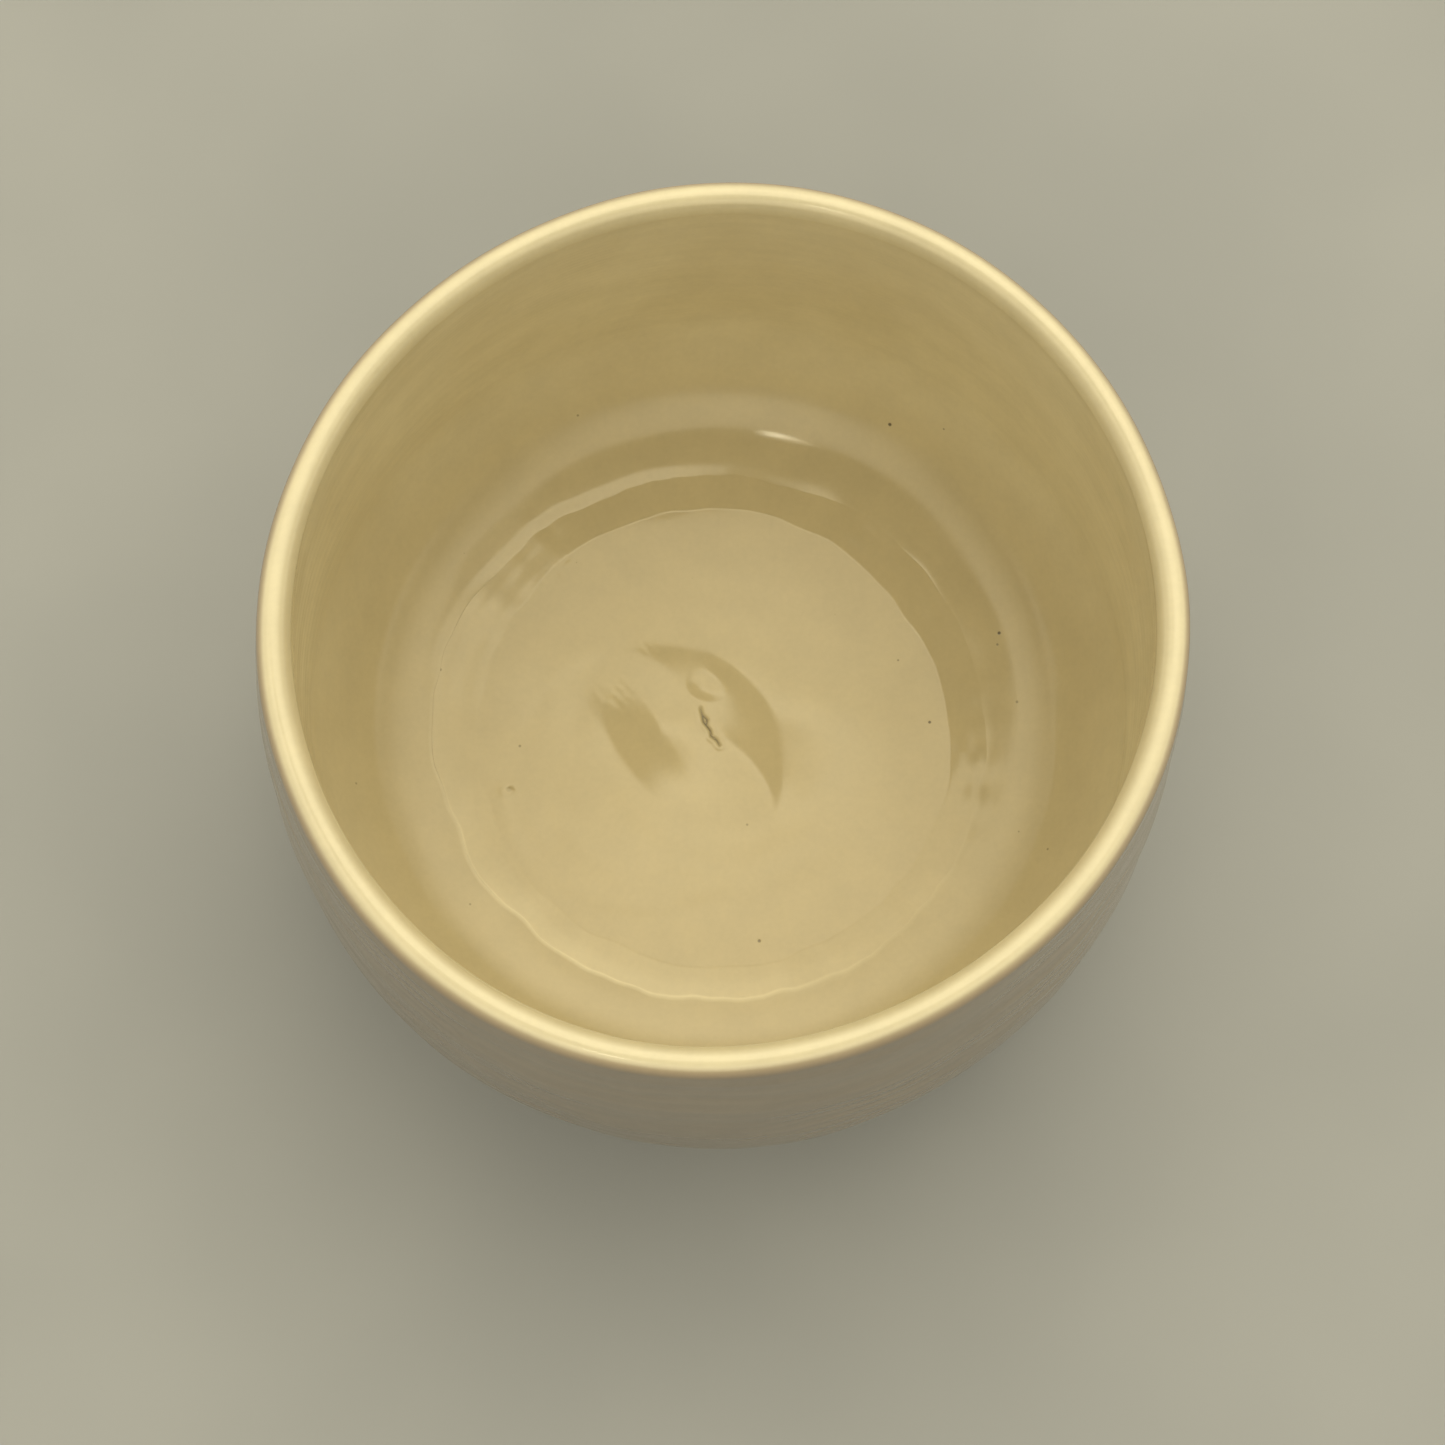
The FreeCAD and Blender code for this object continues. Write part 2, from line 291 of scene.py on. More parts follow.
def skin(s, theta, drop=0.0, even=False):
    """A point of the glazed surface at a place along the section, or drop millimetres under it."""
    r, z = np.interp(s, RUN, LINE[:, 0]), np.interp(s, RUN, LINE[:, 1])
    hr, hz = np.interp(s, RUN, HEADING[:, 0]), np.interp(s, RUN, HEADING[:, 1])
    ideal = np.stack([r * np.cos(theta), r * np.sin(theta), z], -1)
    out = -np.broadcast_to(drop, r.shape)
    if not even:
        out = out + skin_relief(s, theta, ideal)
    r, z = r + out * hz, z - out * hr
    return settle(np.stack([r * np.cos(theta), r * np.sin(theta), z], -1))


def well(across, theta, drop=0.0, even=False):
    """A point of the well: across is 0 at its edge, 1 where its bank meets the floor, 2 at the centre."""
    rim, foot = crease_radius(theta), bank_foot_radius(theta)
    edge = skin(run_at_radius(rim), theta)
    edge_level = edge[..., 2]
    up = np.maximum(1 - across, 0)
    soft = 0.10
    climb = np.where(up < soft, up * up / (2 * soft), up - soft / 2) / (1 - soft / 2)
    radius = np.where(across < 1, rim + (foot - rim) * across, foot * (2 - across))
    x, y = radius * np.cos(theta), radius * np.sin(theta)
    level = FLOOR_LEVEL + (edge_level - FLOOR_LEVEL) * climb
    p = np.stack([x, y, level], -1)
    if not even:
        fade = smooth(0.0, 0.35, across)
        bank = np.clip(up * 4, 0, 1) * (1 - smooth(0.75, 1.0, up))
        ridges = 0.012 * np.sin(TURN * (radius - 0.9 * theta) / 3.4 + 0.8 * soft_in(p)) * bank
        level = level + floor_relief(p) * fade * (1 - 0.65 * np.clip(up * 2, 0, 1)) + ridges
    return settle(np.stack([x, y, level - drop], -1))


# ---------------------------------------------------------------- meshes


class Shell:
    """Rings of points and the faces between them. Rings run counter-clockwise seen from above."""

    def __init__(self):
        self.points, self.normals, self.faces, self.shown = [], [], [], []
        self.count = 0

    def ring(self, points, normals=None):
        self.points.append(points)
        self.normals.append(np.zeros_like(points) if normals is None else normals)
        start = self.count
        self.count += len(points)
        return np.arange(start, self.count)

    def keep(self, faces, shown):
        self.faces.extend(faces)
        self.shown.extend([shown] * len(faces))

    def bridge(self, a, b, shown=False):
        self.keep(np.stack([a, np.roll(a, -1), np.roll(b, -1), b], 1).tolist(), shown)

    def thin_out(self, many, few, shown=False):
        """Joins a ring to one with fewer points, many first."""
        step = len(many) // len(few)
        faces = []
        for j in range(len(few)):
            here, after = few[j], few[(j + 1) % len(few)]
            run = [many[(j * step + i) % len(many)] for i in range(step + 1)]
            half = step // 2
            faces += [[run[i], run[i + 1], here] for i in range(half)]
            faces.append([run[half], after, here])
            faces += [[run[i], run[i + 1], after] for i in range(half, step)]
        self.keep([[int(v) for v in f] for f in faces], shown)

    def flip(self, start):
        """Turns the faces made since start inside out."""
        self.faces[start:] = [f[::-1] for f in self.faces[start:]]

    def close(self, ring, centre, shown=False):
        middle = self.ring(np.array([centre], float))[0]
        self.keep([[int(a), int(b), int(middle)] for a, b in zip(ring, np.roll(ring, -1))], shown)

    def disc(self, outer, place, shown=True):
        """Fills a ring of 8n points with rings of 8k points, so that the faces stay even to the centre."""
        rings = len(outer) // 8
        last = outer
        for k in range(rings - 1, 0, -1):
            theta = np.arange(8 * k) / (8 * k) * TURN
            points, normals = place(k / rings, theta)
            inner = self.ring(points, normals)
            self.disc_row(last, inner, k + 1, shown)
            last = inner
        points, normals = place(0.0, np.zeros(1))
        self.disc_row(last, self.ring(points, normals), 1, shown)

    def disc_row(self, outer, inner, k, shown):
        faces = []
        many, few = len(outer), len(inner)
        for side in range(4):
            v = [int(outer[(side * 2 * k + i) % many]) for i in range(-1, 2 * k + 1)]
            w = [int(inner[(side * 2 * (k - 1) + i) % few]) for i in range(2 * (k - 1) + 1)]
            faces.append([v[0], v[1], v[2], w[0]])
            faces += [[v[i + 1], v[i + 2], w[i], w[i - 1]] for i in range(1, 2 * k - 1)]
        self.keep(faces, shown)

    def build(self, name, marks):
        points = np.concatenate(self.points)
        normals = np.concatenate(self.normals)
        mesh = bpy.data.meshes.new(name)
        mesh.from_pydata(points * MM, [], self.faces)
        mesh.polygons.foreach_set("use_smooth", [True] * len(self.faces))
        mesh.update()
        shown = np.repeat(np.array(self.shown), [len(f) for f in self.faces])
        corner = np.zeros(len(mesh.loops), np.int32)
        mesh.loops.foreach_get("vertex_index", corner)
        chosen = np.where(shown[:, None], normals[corner], 0.0)
        mesh.normals_split_custom_set(chosen.tolist())
        for mark, rule in marks.items():
            attribute = mesh.attributes.new(mark, "FLOAT", "POINT")
            attribute.data.foreach_set("value", rule(points).astype(np.float32))
        piece = bpy.data.objects.new(name, mesh)
        bpy.context.scene.collection.objects.link(piece)
        return piece


def across_and_along(place, a, b, da, db):
    """Points of place(a, b) with the unit normal of the surface there."""
    along = place(a + da, b) - place(a - da, b)
    around = place(a, b + db) - place(a, b - db)
    normal = np.cross(around, along)
    length = np.linalg.norm(normal, axis=-1, keepdims=True)
    return place(a, b), normal / np.maximum(length, 1e-12)


AROUND = np.arange(SEGMENTS) / SEGMENTS * TURN
NUDGE = 0.06  # half the span over which a coat's slope is taken, in millimetres
WELL_NUDGE = 0.004  # the same for the bank of the well, as a share of its width


def coat_front(shell, place, rows, nudge=NUDGE):
    """Adds the seen side of a coat. rows is one array of section places for each ring."""
    rings = []
    for s in rows:
        s = np.broadcast_to(s, AROUND.shape)
        points, normals = across_and_along(place, s, AROUND, nudge, nudge / 50)
        rings.append(shell.ring(points, normals))
    for a, b in zip(rings, rings[1:]):
        shell.bridge(a, b, shown=True)
    return rings


def coat_back(shell, place, rows):
    rings = [shell.ring(place(np.broadcast_to(s, AROUND.shape), AROUND)) for s in rows]
    for a, b in zip(rings, rings[1:]):
        shell.bridge(a, b)
    return rings


def make_wall_coat(name, start, end, count, back_count, thin_start=False, marks=None):
    """A closed coat of glaze between two places on the section, which may vary round the bowl."""
    shell = Shell()

    def front(s, theta):
        if not thin_start:
            return skin(s, theta)
        from_edge = s - np.interp(theta % TURN, np.append(AROUND, TURN), np.append(start, start[0]))
        rounded = np.sqrt(np.clip(from_edge / 1.3, 0, 1) * (2 - np.clip(from_edge / 1.3, 0, 1)))
        bead = 0.16 * bell(from_edge - 1.5, 1.1)
        return skin(s, theta, drop=(COAT - 0.03) * (1 - rounded) - bead)

    share = np.linspace(0, 1, count)
    if thin_start:
        share = 0.35 * share + 0.65 * share ** 1.6
    rows = [start + (end - start) * t for t in share]
    seen = coat_front(shell, front, rows)
    back_rows = [end + (start - end) * t for t in np.linspace(0, 1, back_count)]
    hidden = coat_back(shell, lambda s, theta: skin(s, theta, drop=COAT, even=True), back_rows)
    shell.bridge(seen[-1], hidden[0])
    shell.bridge(hidden[-1], seen[0])
    return shell.build(name, marks or {})


def make_well_coat(name, marks):
    """The closed coat in the well: its bank, its floor and the plain side against the clay."""
    shell = Shell()
    rows = np.concatenate([np.linspace(0, 0.12, 7), np.linspace(0.15, 1.0, 26)])
    seen = coat_front(shell, well, rows, WELL_NUDGE)

    def centre(share, theta):
        share = 0.42 * share + 0.58 * share ** 2.0
        foot = bank_foot_radius(theta)

        def at(x, y):
            r, a = np.hypot(x, y), np.arctan2(y, x)
            return well(2 - r / bank_foot_radius(a), a)

        x, y = share * foot * np.cos(theta), share * foot * np.sin(theta)
        d = 0.05
        normal = np.cross(at(x + d, y) - at(x - d, y), at(x, y + d) - at(x, y - d))
        return at(x, y), normal / np.linalg.norm(normal, axis=-1, keepdims=True)

    shell.disc(seen[-1], centre)
    under = shell.ring(well(np.zeros(SEGMENTS), AROUND, drop=FLOOR_COAT, even=True))
    shell.bridge(under, seen[0])
    few = np.arange(WELL_UNDER_SEGMENTS) / WELL_UNDER_SEGMENTS * TURN
    start = len(shell.faces)
    inner = shell.ring(well(np.full(WELL_UNDER_SEGMENTS, 0.5), few, drop=FLOOR_COAT, even=True))
    shell.thin_out(under, inner)
    last = inner
    for across in (1.0, 1.4, 1.8):
        ring = shell.ring(well(np.full(WELL_UNDER_SEGMENTS, across), few, drop=FLOOR_COAT, even=True))
        shell.bridge(last, ring)
        last = ring
    shell.close(last, (0, 0, FLOOR_LEVEL - FLOOR_COAT))
    shell.flip(start)
    return shell.build(name, marks)


# ---------------------------------------------------------------- the clay

grain, clay_soft = Unevenness(21, 2.2), Unevenness(22, 9)
UNDERSIDE_SLOPE = HEADING[0, 1] / HEADING[0, 0]


def clay_underside(r, theta):
    """The bare underside of the body, inside and outside the foot ring."""
    flat = np.stack([r * np.cos(theta), r * np.sin(theta), 0 * r], -1)
    inside = 1 - smooth(RECESS_RADIUS - 2, RECESS_RADIUS, r)
    outside = smooth(ROOT[0] + 0.2, ROOT[0] + 2.0, r)
    turned = 0.10 * np.sin(TURN * r / 2.9 + theta) * smooth(1.5, 6, r)
    uneven = 0.03 * clay_soft(flat) + 0.015 * grain(flat)
    z = FOOT_TOP + np.maximum(r - ROOT[0], 0) * UNDERSIDE_SLOPE
    z = z + (0.8 * turned - 0.5 * bell(r, 3.0) + uneven) * inside + uneven * outside
    return np.stack([flat[..., 0], flat[..., 1], z], -1)


def make_clay_body(name, marks):
    """The clay: its bare underside, and the plain surface under the coats."""
    shell = Shell()
    theta = np.arange(UNDERSIDE_SEGMENTS) / UNDERSIDE_SEGMENTS * TURN

    def ring_at(r):
        radius = np.full(UNDERSIDE_SEGMENTS, r)
        points, normals = across_and_along(clay_underside, radius, theta, NUDGE, NUDGE / ROOT[0])
        return shell.ring(points, normals)

    # the ceiling of the recess and the underside, seen from below
    radii = np.concatenate([np.linspace(RECESS_RADIUS, ROOT[0], 6), np.linspace(ROOT[0] + 0.4, 36.5, 18)])
    rings = [ring_at(r) for r in radii]
    for a, b in zip(rings, rings[1:]):
        shell.bridge(a, b, shown=True)

    def ceiling(share, a):
        def flat(x, y):
            return clay_underside(np.hypot(x, y), np.arctan2(y, x))

        x, y = share * RECESS_RADIUS * np.cos(a), share * RECESS_RADIUS * np.sin(a)
        d = 0.05
        normal = np.cross(flat(x, y + d) - flat(x, y - d), flat(x + d, y) - flat(x - d, y))
        return flat(x, y), normal / np.linalg.norm(normal, axis=-1, keepdims=True)

    start = len(shell.faces)
    shell.disc(rings[0], ceiling)
    shell.flip(start)

    # under the glaze, out of sight
    few = np.arange(HIDDEN_SEGMENTS) / HIDDEN_SEGMENTS * TURN
    low_outside = RUN[:TOP] < 40
    first = float(np.interp(38.0, LINE[:TOP, 0][low_outside], RUN[:TOP][low_outside]))
    last_run = float(run_at_radius(np.array(46.5)))
    places = np.concatenate([
        np.linspace(first, TOP_RUN - 5, 26),
        np.linspace(TOP_RUN - 4.4, TOP_RUN + 4.4, 18),
        np.linspace(TOP_RUN + 5, last_run, 26),
    ])
    hidden = []
    for s in places:
        hidden.append(shell.ring(skin(np.full(HIDDEN_SEGMENTS, s), few, drop=COAT + CLAY_GAP, even=True)))
    shell.thin_out(rings[-1], hidden[0])
    for a, b in zip(hidden, hidden[1:]):
        shell.bridge(a, b)
    last = hidden[-1]
    for across in (0.06, 0.5, 1.0, 1.4, 1.8):
        places_round = np.full(HIDDEN_SEGMENTS, across)
        ring = shell.ring(well(places_round, few, drop=FLOOR_COAT + CLAY_GAP, even=True))
        shell.bridge(last, ring)
        last = ring
    shell.close(last, (0, 0, FLOOR_LEVEL - FLOOR_COAT - CLAY_GAP))
    return shell.build(name, marks)


def make_foot_ring(name, marks):
    """The turned foot: outer side, rounded foot edge, inner side, and the top that is luted to the body."""
    outside = straight((FOOT_RADIUS, FOOT_TOP), (FOOT_OUTER, FOOT_BOTTOM + FOOT_ROUND))
    inside = straight((FOOT_INNER, FOOT_BOTTOM + FOOT_ROUND), (RECESS_RADIUS, FOOT_TOP))
    line = np.concatenate([
        outside,
        arc((FOOT_OUTER - FOOT_ROUND, FOOT_ROUND), FOOT_ROUND, 0, -90)[1:],
        straight((FOOT_OUTER - FOOT_ROUND, 0), (FOOT_INNER + FOOT_ROUND, 0))[1:-1],
        arc((FOOT_INNER + FOOT_ROUND, FOOT_ROUND), FOOT_ROUND, -90, -180),
        inside[1:],
    ])
    run = np.concatenate([[0.0], np.cumsum(np.linalg.norm(np.diff(line, axis=0), axis=1))])
    heading = np.gradient(line, run, axis=0)
    heading /= np.linalg.norm(heading, axis=1, keepdims=True)
    length = run[-1]

    def place(s, theta):
        r, z = np.interp(s, run, line[:, 0]), np.interp(s, run, line[:, 1])
        hr, hz = np.interp(s, run, heading[:, 0]), np.interp(s, run, heading[:, 1])
        p = np.stack([r * np.cos(theta), r * np.sin(theta), z], -1)
        free = smooth(0, 1.5, s) * (1 - smooth(length - 1.5, length, s))
        marks_out = 0.05 * np.sin(TURN * z / 1.9 + theta) + 0.05 * clay_soft(p) + 0.022 * grain(p)
        worn = 0.10 * np.clip(clay_soft(p * 1.7) - 0.6, 0, 1) * bell(z, 1.2)
        out = free * marks_out - worn
        r, z = r - out * hz, z + out * hr
        z = np.maximum(z, FOOT_BOTTOM)
        return np.stack([r * np.cos(theta), r * np.sin(theta), z], -1)

    shell = Shell()
    rings = []
    for s in np.linspace(0, length, 72):
        points, normals = across_and_along(place, np.full(SEGMENTS, s), AROUND, 0.04, 0.04 / FOOT_OUTER)
        rings.append(shell.ring(points, -normals))
    for a, b in zip(rings, rings[1:]):
        shell.bridge(b, a, shown=True)
    shell.bridge(rings[0], rings[-1])
    return shell.build(name, marks)


# ---------------------------------------------------------------- materials


class Paint:
    """Short names for wiring a material's nodes."""

    def __init__(self, name):
        self.material = bpy.data.materials.new(name)
        self.material.use_nodes = True
        self.tree = self.material.node_tree
        self.shader = self.tree.nodes["Principled BSDF"]
        coordinates = self.tree.nodes.new("ShaderNodeTexCoord").outputs["Object"]
        scale = self.tree.nodes.new("ShaderNodeVectorMath")
        scale.operation = "SCALE"
        scale.inputs["Scale"].default_value = 1 / MM
        self.tree.links.new(coordinates, scale.inputs[0])
        self.place = scale.outputs["Vector"]

    def put(self, socket, value):
        if isinstance(value, bpy.types.NodeSocket):
            self.tree.links.new(value, socket)
        else:
            socket.default_value = value

    def math(self, operation, *values, clamp=False):
        node = self.tree.nodes.new("ShaderNodeMath")
        node.operation = operation
        node.use_clamp = clamp
        for socket, value in zip(node.inputs, values):
            self.put(socket, value)
        return node.outputs[0]

    def noise(self, size, detail=2.0, rough=0.5, stretch=None, warp=0.0):
        """Noise from 0 to 1 with bumps about size millimetres across."""
        place = self.place
        if stretch:
            node = self.tree.nodes.new("ShaderNodeVectorMath")
            node.operation = "MULTIPLY"
            self.put(node.inputs[0], place)
            node.inputs[1].default_value = stretch
            place = node.outputs[0]
        node = self.tree.nodes.new("ShaderNodeTexNoise")
        node.inputs["Scale"].default_value = 1 / size
        node.inputs["Detail"].default_value = detail
        node.inputs["Roughness"].default_value = rough
        node.inputs["Distortion"].default_value = warp
        self.put(node.inputs["Vector"], place)
        return node.outputs["Fac"]

    def cells(self, size):
        node = self.tree.nodes.new("ShaderNodeTexVoronoi")
        node.inputs["Scale"].default_value = 1 / size
        self.put(node.inputs["Vector"], self.place)
        return node.outputs["Distance"], node.outputs["Color"]

    def ramp(self, value, low, high, start=0.0, end=1.0):
        node = self.tree.nodes.new("ShaderNodeMapRange")
        node.interpolation_type = "SMOOTHSTEP"
        self.put(node.inputs["Value"], value)
        node.inputs["From Min"].default_value = low
        node.inputs["From Max"].default_value = high
        node.inputs["To Min"].default_value = start
        node.inputs["To Max"].default_value = end
        return node.outputs["Result"]

    def mix(self, share, a, b, blend="MIX"):
        node = self.tree.nodes.new("ShaderNodeMix")
        node.data_type = "RGBA"
        node.blend_type = blend
        self.put(node.inputs[0], share)
        self.put(node.inputs[6], a)
        self.put(node.inputs[7], b)
        return node.outputs[2]

    def mark(self, name):
        node = self.tree.nodes.new("ShaderNodeAttribute")
        node.attribute_name = name
        return node.outputs["Fac"]

    def near(self, spot, radius, soft):
        """1 within radius millimetres of a spot, 0 from radius + soft."""
        node = self.tree.nodes.new("ShaderNodeVectorMath")
        node.operation = "DISTANCE"
        self.put(node.inputs[0], self.place)
        node.inputs[1].default_value = spot
        return self.ramp(node.outputs["Value"], radius, radius + soft, 1.0, 0.0)

    def bump(self, height):
        """Height in millimetres."""
        node = self.tree.nodes.new("ShaderNodeBump")
        node.inputs["Strength"].default_value = 1.0
        node.inputs["Distance"].default_value = MM
        self.put(node.inputs["Height"], height)
        self.put(self.shader.inputs["Normal"], node.outputs["Normal"])


def rgb(r, g, b):
    return (r, g, b, 1.0)


def wall_spot(azimuth, level):
    """A place on the inner wall, from its direction and height."""
    below = LINE[INNER_LINE & (HEADING[:, 1] < 0.0)]
    r = float(np.interp(-level, -below[:, 1], below[:, 0]))
    a = math.radians(azimuth)
    p = settle(np.array([r * math.cos(a), r * math.sin(a), level]))
    return tuple(float(v) for v in p)


def floor_spot(x, y, level=None):
    return (x, y, FLOOR_LEVEL if level is None else level)


def glaze(name, colour, pooled, thin_and_painted_light, spots=(), comb=0.0, rough=0.10, crack=False, iron=0.0, outer=None):
    """A glossy, slightly uneven glaze: darker where it pools, paler where it thins; the marks also carry
    painted highlight and painted shade on the lip and at the well's edge.
    """
    paint = Paint(name)
    drift = paint.noise(26, 2.0)
    cloud = paint.noise(7, 3.0, 0.55)
    fleck = paint.noise(0.9, 2.0, 0.6)
    tone = paint.mix(paint.ramp(drift, 0.3, 0.7, 0.0, 0.35), colour, pooled)
    # The pooled-tone mark also paints shade just inside the lip's crest; the pale-tone mark also paints a
    # highlight on the crest and light along the near edge of the well.
    tone = paint.mix(paint.mark("pool_and_painted_shade"), tone, pooled)
    tone = paint.mix(paint.mark("thin_and_painted_light"), tone, thin_and_painted_light)
    # Painted shade: the outer mark darkens the lip past its crest to the outside colour, with a painted
    # brownish band in the falloff between.
    if outer:
        shaded_outside_tone = paint.mix(paint.ramp(drift, 0.3, 0.7, 0.0, 0.35), outer[0], outer[1])
        over = paint.mark("outer")
        tone = paint.mix(over, tone, shaded_outside_tone)
        painted_falloff_band = paint.math("MULTIPLY", paint.math("SUBTRACT", 1.0, over), over)
        tone = paint.mix(paint.math("MULTIPLY", painted_falloff_band, 1.6), tone, rgb(0.40, 0.25, 0.16))
    shade = paint.math("ADD", paint.ramp(cloud, 0.25, 0.75, -0.030, 0.030), 1.0)
    shade = paint.math("ADD", shade, paint.ramp(fleck, 0.2, 0.8, -0.018, 0.018))
    combine = paint.tree.nodes.new("ShaderNodeCombineColor")
    for socket in combine.inputs[:3]:
        paint.put(socket, shade)
    tone = paint.mix(1.0, tone, combine.outputs[0], "MULTIPLY")
    # sparse iron specks
    away, pick = paint.cells(5.5)
    split = paint.tree.nodes.new("ShaderNodeSeparateColor")
    paint.put(split.inputs[0], pick)
    chosen = paint.ramp(split.outputs[0], 0.86 - iron, 0.90 - iron)
    speck = paint.math("MULTIPLY", paint.ramp(away, 0.012, 0.030, 1.0, 0.0), chosen)
    tone = paint.mix(paint.math("MULTIPLY", speck, 0.55), tone, rgb(0.16, 0.11, 0.06))
    height = paint.math("MULTIPLY", paint.math("SUBTRACT", fleck, 0.5), 0.004)
    orange_peel = paint.noise(2.4, 1.0)
    height = paint.math("ADD", height, paint.math("MULTIPLY", orange_peel, 0.004))
    for spot, radius, depth, dark in spots:
        near = paint.near(spot, radius * 0.45, radius * 0.7)
        tone = paint.mix(paint.math("MULTIPLY", near, dark), tone, rgb(0.10, 0.08, 0.055))
        height = paint.math("SUBTRACT", height, paint.math("MULTIPLY", near, depth))
    if comb:
        split_place = paint.tree.nodes.new("ShaderNodeSeparateXYZ")
        paint.put(split_place.inputs[0], paint.place)
        phase = paint.math("MULTIPLY", split_place.outputs["Z"], TURN / 1.15)
        phase = paint.math("ADD", phase, paint.math("MULTIPLY", paint.noise(14, 1.0), 9.0))
        lines = paint.math("MULTIPLY", paint.math("SINE", phase), paint.ramp(paint.noise(11, 1.0), 0.4, 0.7))
        height = paint.math("ADD", height, paint.math("MULTIPLY", lines, comb))
    if crack:
        seam = paint.math("MULTIPLY", paint.mark("crack"), 0.8)
        tone = paint.mix(seam, tone, rgb(0.06, 0.045, 0.02))
    paint.put(paint.shader.inputs["Base Color"], tone)
    paint.put(paint.shader.inputs["Roughness"], paint.ramp(cloud, 0.2, 0.8, rough * 0.85, rough * 1.25))
    paint.shader.inputs["IOR"].default_value = 1.6
    paint.bump(height)
    return paint.material


def bare_clay(name, colour, toasted, ring_pitch):
    """Unglazed sandy stoneware."""
    paint = Paint(name)
    sand, grit = paint.noise(0.35, 3.0, 0.65), paint.noise(1.4, 3.0, 0.6)
    cloud = paint.noise(9, 3.0)
    tone = paint.mix(paint.ramp(cloud, 0.35, 0.7), colour, toasted)
    tone = paint.mix(paint.ramp(grit, 0.56, 0.72), tone, rgb(0.30, 0.20, 0.12))
    tone = paint.mix(paint.mark("toast"), tone, toasted)
    away, pick = paint.cells(0.9)
    split = paint.tree.nodes.new("ShaderNodeSeparateColor")
    paint.put(split.inputs[0], pick)
    some = paint.ramp(split.outputs[0], 0.72, 0.78)
    pale = paint.math("MULTIPLY", some, paint.ramp(away, 0.20, 0.34, 1.0, 0.0))
    few = paint.ramp(split.outputs[1], 0.84, 0.88)
    dark = paint.math("MULTIPLY", few, paint.ramp(away, 0.14, 0.26, 1.0, 0.0))
    tone = paint.mix(paint.math("MULTIPLY", pale, 0.5), tone, rgb(0.66, 0.56, 0.43))
    tone = paint.mix(paint.math("MULTIPLY", dark, 0.7), tone, rgb(0.10, 0.06, 0.04))
    paint.put(paint.shader.inputs["Base Color"], tone)
    paint.put(paint.shader.inputs["Roughness"], paint.ramp(grit, 0.3, 0.7, 0.72, 0.92))
    height = paint.math("MULTIPLY", sand, 0.05)
    height = paint.math("ADD", height, paint.math("MULTIPLY", grit, 0.06))
    height = paint.math("ADD", height, paint.math("MULTIPLY", pale, 0.03))
    split_place = paint.tree.nodes.new("ShaderNodeSeparateXYZ")
    paint.put(split_place.inputs[0], paint.place)
    wide = paint.math("MULTIPLY", split_place.outputs["X"], split_place.outputs["X"])
    deep = paint.math("MULTIPLY", split_place.outputs["Y"], split_place.outputs["Y"])
    radius = paint.math("SQRT", paint.math("ADD", wide, deep))
    phase = paint.math("MULTIPLY", paint.math("ADD", radius, split_place.outputs["Z"]), TURN / ring_pitch)
    phase = paint.math("ADD", phase, paint.math("MULTIPLY", paint.noise(8, 1.0), 4.0))
    height = paint.math("ADD", height, paint.math("MULTIPLY", paint.math("SINE", phase), 0.018))
    paint.bump(height)
    return paint.material


# ---------------------------------------------------------------- the pieces


def inner_pool(points):
    """The inner glaze is thickest at the bottom of the wall."""
    return 1 - smooth(16.0, 34.0, points[:, 2])


def round_place(points):
    """Direction and radius of each point, with the bowl's out-of-round taken away."""
    theta = np.arctan2(points[:, 1], points[:, 0])
    return theta, np.hypot(points[:, 0], points[:, 1]) / stretch(theta, points[:, 2])


def lip_thin_and_highlight(points):
    """The glaze is thinnest and palest on the crest of the lip; the pale band also paints the highlight along
    the crest.
    """
    return bell(round_place(points)[1] - LIP_CENTRE[0] - 0.35, 1.35)


def lip_painted_shade_inside(points):
    """The lip is darker and more golden on the shoulder just inside the crest: painted shade where the lip
    turns in.
    """
    past = round_place(points)[1] - LIP_CENTRE[0]
    return 0.8 * bell(past + 1.6, 0.9) * bell(RIM_TOP - points[:, 2], 2.4)


def lip_painted_shade_outside(points):
    """Painted shade: past the crest of the lip the colour darkens to the outside colour, as the lip rolls
    over away from the light.
    """
    past = round_place(points)[1] - LIP_CENTRE[0]
    return smooth(1.0, 4.2, past + RIM_TOP - points[:, 2]) * (past > 0)


def crease_thin_and_lit(points):
    """The glaze is paler where it thins along the edge of the well; the line's strength on the near side, and
    the paler band just inside it, are painted light where edge and bank face the light.
    """
    theta, radius = round_place(points)
    past = radius - crease_radius(theta)
    # Painted light: on the near side, which faces the light, the pale line is at full strength.
    near = bell(np.angle(np.exp(1j * (theta - math.radians(250)))), 0.95)
    line = bell(past, 0.30 + 0.10 * soft_out(points))
    # Painted light: a paler band on the bank just inside the edge.
    shoulder = 0.42 * bell(past, 3.2) * (past < 0)
    return np.clip(np.maximum(line, shoulder) * (0.03 + 0.85 * near), 0, 1)


def outer_thin(points):
    """Outside, the glaze is paler on the crests of the throwing lines."""
    theta = round_place(points)[0]
    crest = np.sin(TURN * points[:, 2] / 4.2 + theta + 0.5 * soft_out(points))
    return np.clip(0.20 * crest * (0.65 + 0.35 * broad_lip(points)), 0, 1) * (points[:, 2] < SEAM_LEVEL - 1)


def outer_pool(points):
    """Outside, the glaze gathers above its lower edge."""
    return 0.9 * (1 - smooth(8.2, 12.5, points[:, 2]))


def none(points):
    return np.zeros(len(points))


def crack_mark(points):
    line = np.minimum(distance_to_line(points, CRACK), distance_to_line(points, CRACK_SIDE))
    ends = bell(np.hypot(points[:, 0] + 0.8, points[:, 1] - 0.7), 3.2)
    return bell(line, 0.13) * np.clip(ends * 1.4, 0, 1)


